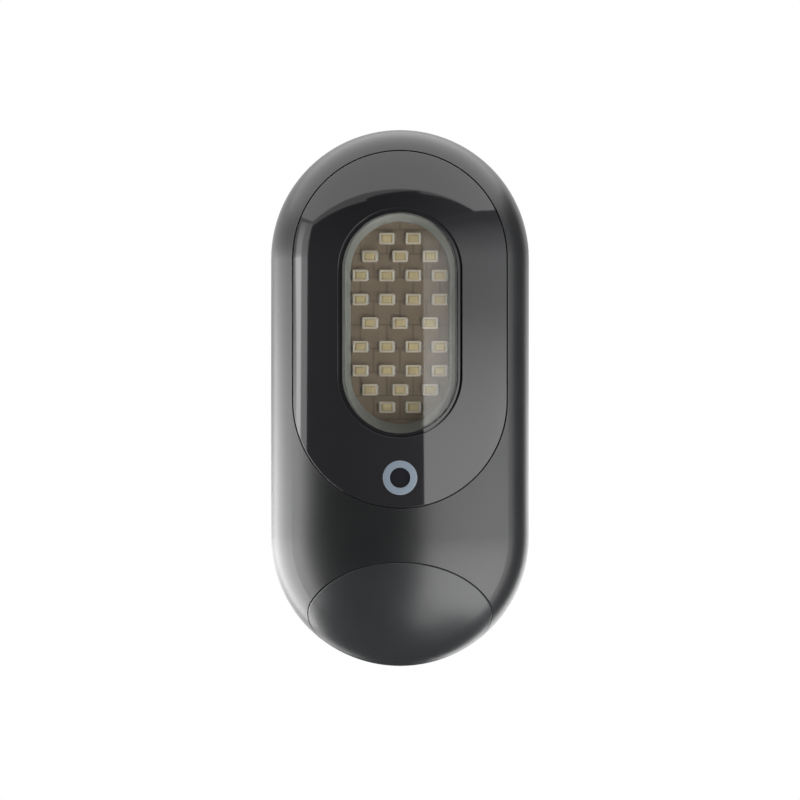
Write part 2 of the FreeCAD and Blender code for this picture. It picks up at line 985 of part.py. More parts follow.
def radio_module():
    """A small carrier board with a metal shield over its lower end."""
    label = "radio_module"
    carrier = box(
        label, (-S.radio_left, board_back, S.radio_rise), S.radio_width, S.radio_thick,
        S.radio_length,
    )
    shield = box(
        label,
        (S.shield_margin - S.radio_left, board_back, S.radio_rise + S.shield_margin),
        S.radio_width - 2 * S.shield_margin,
        S.shield_height,
        S.shield_length,
    )
    return fuse(label, carrier, shield)


def board_screw_set():
    label = "board_screws"
    return group(
        label, [small_screw(label, x, board_front, z, S.board_thick, -1) for x, z in board_screws]
    )


slope = math.sin(math.pi / 4)
wedge_middle_y = tub_front - S.wedge_depth / 2
wedge_middle_z = -(wedge_top + S.wedge_step + S.wedge_depth / 2)


def on_slope(label, make, lift):
    """Stand a piece, made along +Z on its own origin, on the wedge's slanting face."""
    thing = make(label)
    thing.Placement.Rotation = FreeCAD.Rotation(FreeCAD.Vector(1, 0, 0), 135)
    place(thing, (0, wedge_middle_y - lift * slope, wedge_middle_z - lift * slope))
    return thing


def pir_bracket():
    """The wedge that aims the sensor down and out at half a right angle."""
    label = "pir_bracket"
    body = new_body(label)
    outline = [
        ((tub_front, -wedge_top),),
        ((tub_front - S.wedge_depth, -wedge_top),),
        ((tub_front - S.wedge_depth, -wedge_top - S.wedge_step),),
        ((tub_front, -wedge_top - S.wedge_step - S.wedge_depth),),
    ]
    pad(body, sketch_on(body, "YZ_Plane", outline), S.wedge_width, midplane=True)
    return body


def pir_board():
    def make(label):
        body = new_body(label)
        half_x, half_y = S.pir_board_width / 2, S.pir_board_length / 2
        outline = [
            ((half_x, -half_y),), ((half_x, half_y),), ((-half_x, half_y),), ((-half_x, -half_y),)
        ]
        pad(body, sketch_on(body, "XY_Plane", outline), S.pir_board_thick)
        return body

    return on_slope("pir_board", make, 0)


def pir_sensor():
    """A round metal can with a wider rim at its foot and a square window in its cap."""

    def make(label):
        rim = rod(label, (0, 0, 0), S.pir_rim_radius, S.pir_board_thick / 2)
        can = rod(label, (0, 0, 0), S.pir_can_radius, S.pir_can_height)
        side = S.pir_window
        sill = S.pir_can_height - S.pir_window_depth
        window = box(label, (-side / 2, -side / 2, sill), side, side, OVER)
        return cut(label, fuse(label, rim, can), window)

    return on_slope("pir_sensor", make, S.pir_board_thick)


def pir_lens():
    """The chin: a thin curved wall below the slanting seam, ribbed inside into facets."""
    label = "pir_lens"
    shell = cut(label, crowned(0), crowned(S.chin_wall, OVER))
    shell = common(label, shell, slant(chin_sum))
    lip_front = S.shell_wall + S.glue_thick / 2
    lip = cut(label, crowned(S.chin_wall / 2), crowned(lip_front + S.chin_lip_thick, OVER))
    low_lip = common(label, lip, slant(chin_sum + S.chin_lip_reach / 2))
    low_lip = cut(label, low_lip, slant(chin_sum + S.chin_lip_reach))
    high = cut(label, crowned(lip_front), crowned(lip_front + S.chin_lip_thick, OVER))
    high = common(label, high, slant(chin_sum - S.chin_lip_reach))
    high = cut(label, high, slant(chin_sum + S.chin_lip_reach))
    whole = fuse(label, shell, low_lip, high)
    grooves = []
    for step in (1, 2):
        start = chin_sum + S.chin_lip_reach + step * S.facet_pitch
        band = cut(label, slant(start), slant(start + S.facet_groove))
        grooves.append(skin(label, S.chin_wall - S.facet_groove, S.chin_wall * 2, band))
    return cut(label, whole, *grooves)


def rear_shell(label):
    """The flat-backed pill, hollowed, with the seal's groove and the reveal at the joint."""
    return cut(
        label,
        pill(label, rear_outline(0, 0)),
        pill(label, rear_outline(S.shell_wall, S.rim_height)),
        stadium(
            label, half_width - S.rim_wall, half_height, -half_height, S.rim_height + 2 * OVER,
            S.rim_height + 3 * OVER,
        ),
        rim_ring(label, S.seal_inset, S.seal_width, S.seal_height, S.seal_height + OVER),
        rim_ring(label, -OVER, OVER + S.reveal_depth, S.reveal_width, S.reveal_width + OVER),
    )


def rear_walls(label):
    """What is moulded onto the shell: bay, door frame, posts and the socket's sleeve."""
    tub = box(
        label,
        (-bay_x - S.bay_wall, tub_front, bay_low - S.bay_wall),
        2 * (bay_x + S.bay_wall),
        ledge_y - tub_front,
        bay_top - bay_low + 2 * S.bay_wall,
    )
    frame_x = half_width - S.rear_radius + S.notch_width
    frame = box(
        label,
        (-frame_x, ledge_y - S.frame_thick, door_low - S.bay_wall),
        2 * frame_x,
        S.frame_thick + S.shell_wall,
        S.door_height + 2 * S.bay_wall,
    )
    frame = common(label, frame, pill(label, rear_outline(S.shell_wall / 2, 0)))
    columns = [
        rod(label, (x, 0, z), S.boss_radius, back_y - S.shell_wall / 2, "Y") for x, z in case_screws
    ]
    posts = [
        rod(label, (x, board_back, z), S.board_post_radius, S.board_space + S.bay_wall / 2, "Y")
        for x, z in board_screws
    ]
    socket = rod(
        label,
        (0, back_y - S.socket_length - S.socket_wall, S.socket_rise),
        S.insert_radius + S.socket_wall,
        S.socket_length + S.socket_wall - S.shell_wall / 2,
        "Y",
    )
    flange_depth = S.button_travel + S.button_flange_thick * 2
    sleeve = rod(
        label,
        (-S.button_x, back_y - S.shell_wall - flange_depth, S.button_z),
        S.button_flange + S.button_play + S.bay_wall,
        flange_depth + S.shell_wall / 2,
        "Y",
    )
    return [tub, frame, socket, sleeve, *columns, *posts]


def rear_hollows(label):
    """The battery bay, the door's recess, the finger notch and the seal's groove."""
    bay = box(
        label,
        (-bay_x, bay_floor, bay_low),
        2 * bay_x,
        back_y - bay_floor + OVER,
        bay_top - bay_low,
    )
    recess = plate(
        label,
        leaf(
            door_width / 2 + S.door_gap,
            door_low - S.door_gap,
            door_top + S.door_gap,
            S.door_corner + S.door_gap,
        ),
        back_y + OVER,
        back_y + OVER - ledge_y,
    )
    notch = box(
        label,
        (door_width / 2, back_y - S.notch_depth, hinge_middle - S.notch_length / 2),
        S.notch_width + S.door_gap,
        S.notch_depth + OVER,
        S.notch_length,
    )
    return [bay, recess, notch, gasket_ring(label, ledge_y, S.gasket_groove)]


def rear_holes(label):
    """Round holes for the pin, the insert, the button and the screws."""
    holes = [
        rod(
            label,
            (hinge_x, hinge_y, ear_starts[0]),
            S.pin_radius,
            S.ear_spread + 2 * S.ear_length,
        ),
        rod(
            label,
            (0, back_y - S.socket_length, S.socket_rise),
            S.insert_radius,
            S.socket_length + OVER,
            "Y",
        ),
        rod(
            label,
            (-S.button_x, tub_front, S.button_z),
            S.button_radius + S.button_play,
            back_y - tub_front + OVER,
            "Y",
        ),
        rod(
            label,
            (-S.button_x, tub_front, S.button_z),
            S.button_flange + S.button_play,
            back_y - S.shell_wall - tub_front,
            "Y",
        ),
    ]
    for x, z in case_screws:
        holes.append(rod(label, (x, -OVER, z), S.case_screw_radius + S.screw_play, back_y, "Y"))
        holes.append(rod(label, (x, head_seat, z), S.case_head_radius + S.screw_play, back_y, "Y"))
    for x, z in board_screws:
        start = (x, board_back - OVER, z)
        holes.append(rod(label, start, S.small_screw_radius, pilot_depth, "Y"))
    return holes


def rear_housing():
    label = "rear_housing"
    whole = fuse(label, rear_shell(label), *rear_walls(label))
    whole = cut(label, whole, *rear_hollows(label))
    whole = fuse(label, whole, *hinge_ears(label))
    return cut(label, whole, *rear_holes(label))


def gasket_ring(label, rear, depth):
    """The path of the door's seal, round the mouth of the battery bay."""
    path_gap = S.door_gap
    inner_x = bay_x + path_gap * 2
    low, high = bay_low - path_gap * 3, bay_top + path_gap * 3
    outer = plate(
        label,
        rounded(
            inner_x + S.gasket_width, low - S.gasket_width, high + S.gasket_width,
            S.door_corner,
        ),
        rear,
        depth,
    )
    inner = plate(
        label,
        rounded(inner_x, low, high, S.door_corner - S.gasket_width),
        rear + OVER,
        depth + 2 * OVER,
    )
    return cut(label, outer, inner)


def door_gasket():
    return gasket_ring(
        "door_seal", ledge_y + S.gasket_proud, S.gasket_groove + S.gasket_proud
    )


def hinge_ears(label):
    """Two ears of the housing that hold the ends of the door's pin."""
    ears = []
    foot_x = -door_width / 2 - S.door_gap - S.ear_foot
    for start in ear_starts:
        ears.append(rod(label, (hinge_x, hinge_y, start), S.door_thick / 2, S.ear_length))
        ears.append(
            box(
                label,
                (foot_x, ledge_y - S.ear_foot, start),
                -foot_x - bay_x - 2 * S.door_gap - S.gasket_width,
                hinge_y - ledge_y + S.ear_foot,
                S.ear_length,
            )
        )
    return ears


def battery_door():
    label = "battery_door"
    panel = plate(
        label,
        leaf(door_width / 2, door_low, door_top, S.door_corner),
        back_y,
        S.door_thick,
    )
    trim = box(
        label,
        (-door_width / 2 - OVER, door_inner - OVER, door_low - OVER),
        S.door_thick / 2 + OVER,
        S.door_thick + 2 * OVER,
        S.door_height + 2 * OVER,
    )
    barrel = rod(
        label,
        (hinge_x, hinge_y, door_low),
        S.door_thick / 2,
        S.door_height,
    )
    bead = rod(
        label,
        (
            door_width / 2 - S.bead_radius + S.bead_proud,
            hinge_y,
            hinge_middle - S.bead_length / 2,
        ),
        S.bead_radius,
        S.bead_length,
    )
    whole = fuse(label, cut(label, panel, trim), barrel, bead)
    reliefs = [
        box(
            label,
            (-door_width / 2 - OVER, door_inner - OVER, start - S.door_gap),
            S.door_thick + S.door_gap + OVER,
            S.door_thick + 2 * OVER,
            S.ear_length + 2 * S.door_gap,
        )
        for start in ear_starts
    ]
    bore = rod(
        label, (hinge_x, hinge_y, door_low - OVER), S.pin_radius + S.pin_play,
        S.door_height + 2 * OVER,
    )
    return cut(label, whole, bore, *reliefs, *grip_grooves(label))


def grip_grooves(label):
    """Short grooves beside the finger notch, along the free edge of the door."""
    first = door_width / 2 - S.grip_inset - S.grip_width
    return [
        box(
            label,
            (
                first - step * S.grip_pitch,
                back_y - S.grip_depth,
                hinge_middle - S.notch_length / 2,
            ),
            S.grip_width,
            S.grip_depth + OVER,
            S.notch_length,
        )
        for step in range(SIZES["grip_count"])
    ]


def hinge_pin():
    return rod(
        "hinge_pin",
        (hinge_x, hinge_y, ear_starts[0]),
        S.pin_radius,
        S.ear_spread + 2 * S.ear_length,
    )


def housing_seal():
    return rim_ring("housing_seal", S.seal_inset, S.seal_width, S.seal_height, S.seal_height)


def housing_screws():
    label = "housing_screws"
    parts = []
    for x, z in case_screws:
        head = rod(label, (x, head_seat, z), S.case_head_radius, S.case_head_height, "Y")
        shank = rod(
            label, (x, head_seat, z), S.case_screw_radius, S.case_grip + S.case_bite - S.tip_gap, "-Y"
        )
        slots = [
            box(
                label,
                (x - across / 2, head_seat + S.case_head_height / 2, z - up / 2),
                across,
                S.case_head_height,
                up,
            )
            for across, up in (
                (S.case_screw_radius * 2, S.case_screw_radius / 2),
                (S.case_screw_radius / 2, S.case_screw_radius * 2),
            )
        ]
        parts.append(cut(label, fuse(label, head, shank), *slots))
    return group(label, parts)


def battery_pack():
    rear = door_inner - S.pack_gap
    outline = rounded(S.pack_width / 2, rear - S.pack_depth, rear, S.pack_radius)
    return prism(
        "battery_pack", outline, -S.pack_height / 2 - S.pack_centre_drop, S.pack_height
    )


def battery_contacts():
    label = "battery_contacts"
    pack_top = S.pack_height / 2 - S.pack_centre_drop
    return group(
        label,
        [
            box(
                label,
                (
                    step * S.contact_pitch - S.contact_width / 2,
                    bay_floor + S.pack_depth / 3,
                    pack_top,
                ),
                S.contact_width,
                S.pack_depth / 2,
                S.pack_gap,
            )
            for step in (-1, 0, 1)
        ],
    )


def stand_socket():
    """A turned brass insert with a blind bore."""
    label = "stand_socket"
    start = (0, back_y - S.socket_length, S.socket_rise)
    barrel = rod(label, start, S.insert_radius, S.socket_length, "Y")
    bore = rod(
        label, (0, start[1] + S.socket_floor, S.socket_rise), S.socket_bore, S.socket_length, "Y"
    )
    return cut(label, barrel, bore)


def sync_button():
    """A round cap with a flange behind the wall and a long stem to the switch."""
    label = "sync_button"
    flange_y = back_y - S.shell_wall - S.button_flange_thick
    stem_tip = board_back + S.switch_height + S.plunger_height + S.button_travel + S.stem_gap
    cap = rod(
        label,
        (-S.button_x, flange_y, S.button_z),
        S.button_radius,
        back_y - flange_y,
        "Y",
    )
    flange = rod(
        label, (-S.button_x, flange_y, S.button_z), S.button_flange, S.button_flange_thick, "Y"
    )
    stem = rod(
        label, (-S.button_x, stem_tip, S.button_z), S.stem_radius, flange_y - stem_tip, "Y"
    )
    return fuse(label, cap, flange, stem)


def sync_switch():
    label = "sync_switch"
    half = S.switch_size / 2
    case = box(
        label,
        (-S.button_x - half, board_back, S.button_z - half),
        S.switch_size,
        S.switch_height,
        S.switch_size,
    )
    plunger = rod(
        label,
        (-S.button_x, board_back + S.switch_height, S.button_z),
        S.plunger_radius,
        S.plunger_height,
        "Y",
    )
    return fuse(label, case, plunger)


NODES = {
    "front_housing": front_housing,
    "window_bezel": window_bezel,
    "bezel_seal": bezel_glue,
    "led_lens": led_lens,
    "lens_gasket": lens_gasket,
    "reflector_tray": reflector_tray,
    "led_board": led_board,
    "led_packages": led_packages,
    "heat_sink": heat_sink,
    "led_screws": led_screws,
    "dusk_sensor_ring": dusk_ring,
    "dusk_light_pipe": dusk_pipe,
    "dusk_sensor": dusk_sensor,
    "main_board": main_board,
    "board_chips": board_parts,
    "radio_module": radio_module,
    "board_screws": board_screw_set,
    "pir_bracket": pir_bracket,
    "pir_board": pir_board,
    "pir_sensor": pir_sensor,
    "pir_lens": pir_lens,
    "rear_housing": rear_housing,
    "housing_seal": housing_seal,
    "housing_screws": housing_screws,
    "battery_pack": battery_pack,
    "battery_contacts": battery_contacts,
    "battery_door": battery_door,
    "door_seal": door_gasket,
    "hinge_pin": hinge_pin,
    "stand_socket": stand_socket,
    "sync_button": sync_button,
    "sync_switch": sync_switch,
}


def to_socket_frame(thing):
    """Move a finished piece so that the mouth of the stand socket is the origin."""
    start = places.get(thing.Name, (0, 0, 0))
    origin = (0, back_y, S.socket_rise)
    place(thing, [as_size(at) - shift for at, shift in zip(start, origin)])


finished = {}
for node, maker in NODES.items():
    piece = maker()
    piece.Label = node
    to_socket_frame(piece)
    finished[node] = piece
doc.recompute()

for thing in doc.Objects:
    if "Invalid" in thing.State or "Error" in thing.State:
        raise RuntimeError(f"{thing.Name} could not be built: {thing.State}")
for node, piece in finished.items():
    if piece.Shape.isNull() or not piece.Shape.isValid():
        raise RuntimeError(f"{node} has no valid shape")

os.makedirs("parts", exist_ok=True)
for node, piece in finished.items():
    piece.Shape.exportStep(os.path.join("parts", node + ".step"))
    print(node, len(piece.Shape.Solids), round(piece.Shape.Volume, 1))
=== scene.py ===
import math

import bpy
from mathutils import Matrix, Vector


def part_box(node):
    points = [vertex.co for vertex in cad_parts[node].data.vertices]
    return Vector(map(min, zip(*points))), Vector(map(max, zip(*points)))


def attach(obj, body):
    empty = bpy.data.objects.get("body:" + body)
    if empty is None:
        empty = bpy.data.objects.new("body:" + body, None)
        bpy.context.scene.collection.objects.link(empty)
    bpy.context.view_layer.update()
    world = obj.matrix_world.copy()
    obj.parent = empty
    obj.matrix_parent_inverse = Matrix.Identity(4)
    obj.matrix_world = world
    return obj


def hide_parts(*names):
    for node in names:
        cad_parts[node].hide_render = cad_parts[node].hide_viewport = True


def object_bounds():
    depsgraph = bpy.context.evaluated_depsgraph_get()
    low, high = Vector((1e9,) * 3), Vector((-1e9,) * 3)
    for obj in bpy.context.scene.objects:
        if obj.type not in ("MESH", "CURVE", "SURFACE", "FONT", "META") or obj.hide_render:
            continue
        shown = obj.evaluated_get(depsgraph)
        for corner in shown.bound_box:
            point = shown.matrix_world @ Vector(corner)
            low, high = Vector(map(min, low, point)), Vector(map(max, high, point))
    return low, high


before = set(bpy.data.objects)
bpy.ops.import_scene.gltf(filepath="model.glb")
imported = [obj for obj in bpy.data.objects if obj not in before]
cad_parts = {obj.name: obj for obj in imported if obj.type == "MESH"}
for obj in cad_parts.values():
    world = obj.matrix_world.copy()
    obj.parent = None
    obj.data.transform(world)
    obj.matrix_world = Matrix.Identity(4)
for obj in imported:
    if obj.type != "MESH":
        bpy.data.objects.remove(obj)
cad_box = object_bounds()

# The viewpoint: straight on, from far off with a long lens, level with the middle of the light.
# Half a millimetre of drop puts the light where it stands in the picture.
low, high = cad_box
middle = (low + high) / 2
PICTURE_PIXELS = 800
LIGHT_HEIGHT_PIXELS = 534
SENSOR_MM = 36.0
LENS_MM = 260.0
CLIP_NEAR = 0.01
CLIP_FAR = 50.0
CENTRE_DROP = 0.0005
view_width = (high.z - low.z) * PICTURE_PIXELS / LIGHT_HEIGHT_PIXELS
camera_distance = view_width * LENS_MM / SENSOR_MM
camera_data = bpy.data.cameras.new("camera")
camera_data.sensor_width = SENSOR_MM
camera_data.lens = LENS_MM
camera_data.clip_start = CLIP_NEAR
camera_data.clip_end = CLIP_FAR
camera = bpy.data.objects.new("camera", camera_data)
camera.location = (middle.x, middle.y - camera_distance, middle.z - CENTRE_DROP)
camera.rotation_euler = (math.radians(90), 0, 0)
bpy.context.scene.collection.objects.link(camera)
bpy.context.scene.camera = camera
bpy.context.scene.view_settings.view_transform = "Standard"


# The floor and the surround: a pale plain floor well below the light, and a surround that the eye,
# gloss and clear parts see as white. Matt surfaces are lit by it more gently.
def node_tree(owner):
    owner.use_nodes = True
    owner.node_tree.nodes.clear()
    return owner.node_tree.nodes, owner.node_tree.links


def flat_mesh(name, corners):
    """A single four-cornered face, which belongs to the studio."""
    mesh = bpy.data.meshes.new(name)
    mesh.from_pydata([tuple(corner) for corner in corners], [], [(0, 1, 2, 3)])
    made = bpy.data.objects.new(name, mesh)
    bpy.context.scene.collection.objects.link(made)
    return made


SURROUND_COLOUR = (0.93, 0.96, 1.0, 1)
SURROUND_LEVEL = 0.3
FLOOR_DROP = 1.0
FLOOR_SIZE = 24.0
FLOOR_COLOUR = (0.8, 0.8, 0.8, 1)
FLOOR_SHINE = 0.7
world = bpy.data.worlds.new("surround")
bpy.context.scene.world = world
nodes, links = node_tree(world)
path = nodes.new("ShaderNodeLightPath")
seen = nodes.new("ShaderNodeBackground")
seen.inputs["Color"].default_value = (1, 1, 1, 1)
seen.inputs["Strength"].default_value = 1.0
felt = nodes.new("ShaderNodeBackground")
felt.inputs["Color"].default_value = SURROUND_COLOUR
felt.inputs["Strength"].default_value = SURROUND_LEVEL
choice = nodes.new("ShaderNodeMixShader")
out = nodes.new("ShaderNodeOutputWorld")
straight = nodes.new("ShaderNodeMath")
straight.operation = "MAXIMUM"
any_view = nodes.new("ShaderNodeMath")
any_view.operation = "MAXIMUM"
links.new(path.outputs["Is Camera Ray"], straight.inputs[0])
links.new(path.outputs["Is Transmission Ray"], straight.inputs[1])
links.new(straight.outputs[0], any_view.inputs[0])
links.new(path.outputs["Is Glossy Ray"], any_view.inputs[1])
links.new(any_view.outputs[0], choice.inputs[0])
links.new(felt.outputs[0], choice.inputs[1])
links.new(seen.outputs[0], choice.inputs[2])
links.new(choice.outputs[0], out.inputs["Surface"])

half_floor = FLOOR_SIZE / 2
floor_z = low.z - FLOOR_DROP
floor = flat_mesh(
    "floor",
    [
        (-half_floor, -half_floor, floor_z),
        (half_floor, -half_floor, floor_z),
        (half_floor, half_floor, floor_z),
        (-half_floor, half_floor, floor_z),
    ],
)
floor_paint = bpy.data.materials.new("floor_paint")
nodes, links = node_tree(floor_paint)
path = nodes.new("ShaderNodeLightPath")
matt = nodes.new("ShaderNodeBsdfDiffuse")
matt.inputs["Color"].default_value = FLOOR_COLOUR
pale = nodes.new("ShaderNodeEmission")
pale.inputs["Strength"].default_value = 1.0
seen_floor = nodes.new("ShaderNodeMixShader")
seen_floor.inputs[0].default_value = FLOOR_SHINE
choice = nodes.new("ShaderNodeMixShader")
out = nodes.new("ShaderNodeOutputMaterial")
links.new(matt.outputs[0], seen_floor.inputs[1])
links.new(pale.outputs[0], seen_floor.inputs[2])
links.new(path.outputs["Is Camera Ray"], choice.inputs[0])
links.new(matt.outputs[0], choice.inputs[1])
links.new(seen_floor.outputs[0], choice.inputs[2])
links.new(choice.outputs[0], out.inputs["Surface"])
floor.data.materials.append(floor_paint)


# The studio: shining panels overhead, at both sides, behind and low down, and black cards that
# keep the front left dark. The upright ones are given by their direction from the light, in
# degrees with 0 towards the viewer and more to the right, and by their heights from its middle.
def upright(name, turn_from, turn_to, distance, bottom, top_from, top_to=None):
    """An upright face between two directions, its ends at this distance from the middle."""
    ends = [
        Vector((math.sin(math.radians(turn)), -math.cos(math.radians(turn)), 0)) * distance
        for turn in (turn_from, turn_to)
    ]
    corners = [
        middle + ends[0] + Vector((0, 0, bottom)),
        middle + ends[1] + Vector((0, 0, bottom)),
        middle + ends[1] + Vector((0, 0, top_from if top_to is None else top_to)),
        middle + ends[0] + Vector((0, 0, top_from)),
    ]
    made = flat_mesh(name, corners)
    made.visible_camera = False
    return made


def glow(name, thing, stops):
    """Make a face shine, brighter and dimmer by height; stops are height and brightness."""
    paint = bpy.data.materials.new(name)
    nodes, links = node_tree(paint)
    place = nodes.new("ShaderNodeTexCoord")
    part = nodes.new("ShaderNodeSeparateXYZ")
    spread = nodes.new("ShaderNodeMapRange")
    ramp = nodes.new("ShaderNodeValToRGB")
    shine = nodes.new("ShaderNodeEmission")
    out = nodes.new("ShaderNodeOutputMaterial")
    first, last = stops[0][0], stops[-1][0]
    peak = max(level for height, level in stops)
    spread.inputs["From Min"].default_value = middle.z + first
    spread.inputs["From Max"].default_value = middle.z + last
    shine.inputs["Strength"].default_value = peak
    while len(ramp.color_ramp.elements) < len(stops):
        ramp.color_ramp.elements.new(0.5)
    for element, (height, level) in zip(ramp.color_ramp.elements, stops):
        element.position = (height - first) / (last - first)
    for element, (height, level) in zip(ramp.color_ramp.elements, stops):
        element.color = (level / peak, level / peak, level / peak, 1)
    links.new(place.outputs["Object"], part.inputs[0])
    links.new(part.outputs["Z"], spread.inputs["Value"])
    links.new(spread.outputs["Result"], ramp.inputs["Fac"])
    links.new(ramp.outputs["Color"], shine.inputs["Color"])
    links.new(shine.outputs[0], out.inputs["Surface"])
    thing.data.materials.append(paint)


def level_face(name, left, right, front, back, height):
    """A level face at this height from the middle, with its edges at these distances."""
    corners = [
        middle + Vector((left, front, height)),
        middle + Vector((right, front, height)),
        middle + Vector((right, back, height)),
        middle + Vector((left, back, height)),
    ]
    made = flat_mesh(name, corners)
    made.visible_camera = False
    return made


def even_glow(name, thing, height, level):
    """Make a level face at this height shine evenly."""
    glow(name, thing, [(height - GLOW_MARGIN, level), (height + GLOW_MARGIN, level)])


GLOW_MARGIN = 0.01
ABOVE_EDGES = (-2.2, 2.2, -0.78, 1.5)
ABOVE_HEIGHT = 1.0
ABOVE_LEVEL = 2.5
MATT_HEIGHT = 1.02
MATT_LEVEL = 0.35
LOW_EDGES = (0.15, 0.6, -0.85, -0.35)
LOW_HEIGHT = -0.97
LOW_LEVEL = 3.0
PANEL_DISTANCE = 1.0
PANELS = {
    "right": (
        (17, 91, PANEL_DISTANCE, -1.05, 0.5),
        [
            (-1.05, 5.2),
            (-0.2, 4.6),
            (-0.012, 3.6),
            (0.005, 3.1),
            (0.02, 2.4),
            (0.035, 1.5),
            (0.4, 0.1),
        ],
    ),
    "strip": (
        (-79, -75, PANEL_DISTANCE, -0.75, 0.42),
        [(-0.75, 7.0), (-0.1, 8.6), (0.06, 8.6), (0.1, 4.4), (0.28, 3.4), (0.42, 2.2)],
    ),
    "fade": (
        (-75, -69.5, PANEL_DISTANCE, -0.75, 0.42),
        [(-0.75, 2.2), (-0.1, 3.0), (0.06, 3.0), (0.1, 2.4), (0.42, 1.8)],
    ),
    "left": (
        (-140, -79, PANEL_DISTANCE, -0.8, 0.12),
        [(-0.8, 6.5), (-0.1, 7.5), (-0.02, 6.0), (0.03, 2.6), (0.12, 0.8)],
    ),
    "behind": (
        (-168, -140, PANEL_DISTANCE, -0.8, 0.03),
        [
            (-0.8, 1.2),
            (-0.3, 1.6),
            (-0.12, 3.0),
            (-0.075, 3.2),
            (-0.055, 2.4),
            (-0.02, 1.1),
            (0.03, 0.4),
        ],
    ),
    "rim": (
        (139, 172, PANEL_DISTANCE, -0.7, 0.12),
        [(-0.7, 2.6), (-0.03, 2.4), (0.0, 1.8), (0.04, 0.8), (0.12, 0.8)],
    ),
}
CARD_COLOUR = (0.004, 0.004, 0.004, 1)
CARD_DISTANCE = 1.1
CARDS = {
    "left": (-76, -30, CARD_DISTANCE, -1.0, 0.31, 0.98),
    "front": (-30, 19, CARD_DISTANCE, -1.0, 1.05, 1.3),
    "over": (19, 76, CARD_DISTANCE, 0.3, 1.22, 0.4),
    "right": (93, 138, CARD_DISTANCE, -0.8, 0.6),
}
LOW_CARD_EDGES = (-1.2, 0.95, -1.05, 3.4)
LOW_CARD_HEIGHT = -1.0

# Gloss sees the brighter of the two overhead panels, and matt surfaces are lit by the other.
above = level_face("panel_above", *ABOVE_EDGES, ABOVE_HEIGHT)
above.visible_diffuse = False
above.visible_transmission = False
even_glow("panel_above_glow", above, ABOVE_HEIGHT, ABOVE_LEVEL)
above_matt = level_face("panel_above_matt", *ABOVE_EDGES, MATT_HEIGHT)
above_matt.visible_glossy = False
even_glow("panel_above_matt_glow", above_matt, MATT_HEIGHT, MATT_LEVEL)
for name, (stand, stops) in PANELS.items():
    glow("glow_" + name, upright("panel_" + name, *stand), stops)
even_glow("glow_low", level_face("panel_low", *LOW_EDGES, LOW_HEIGHT), LOW_HEIGHT, LOW_LEVEL)

card_paint = bpy.data.materials.new("card_black")
nodes, links = node_tree(card_paint)
matt = nodes.new("ShaderNodeBsdfDiffuse")
matt.inputs["Color"].default_value = CARD_COLOUR
out = nodes.new("ShaderNodeOutputMaterial")
links.new(matt.outputs[0], out.inputs["Surface"])
cards = [level_face("card_low", *LOW_CARD_EDGES, LOW_CARD_HEIGHT)]
cards += [upright("card_" + name, *stand) for name, stand in CARDS.items()]
for card in cards:
    card.data.materials.append(card_paint)


# Front housing: the charcoal shell of the front, moulded in one piece from glass-filled
# polycarbonate with a fine spark-eroded grain. It holds the window in its upper part and the chin
# at its lower end, and four screws from the back join it to the rear housing.
CLOUD_SCALE = 95.0
CLOUD_DETAIL = 3.0
ROUGHNESS_DRIFT = 0.1
EDGE_SAMPLES = 6
# Paler colour along edges: partly edge wear, partly a painted highlight.
EDGE_WEAR_AND_HIGHLIGHT_GAIN = 1.9
EDGE_WEAR_AND_HIGHLIGHT_SHARE = 0.35
EDGE_WEAR_AND_HIGHLIGHT_FROM = 0.999
EDGE_WEAR_AND_HIGHLIGHT_FULL = 0.93
PIT_DETAIL = 2.0
POLE_LIMIT = 0.9
GRAIN = (0.00022, 0.000006)


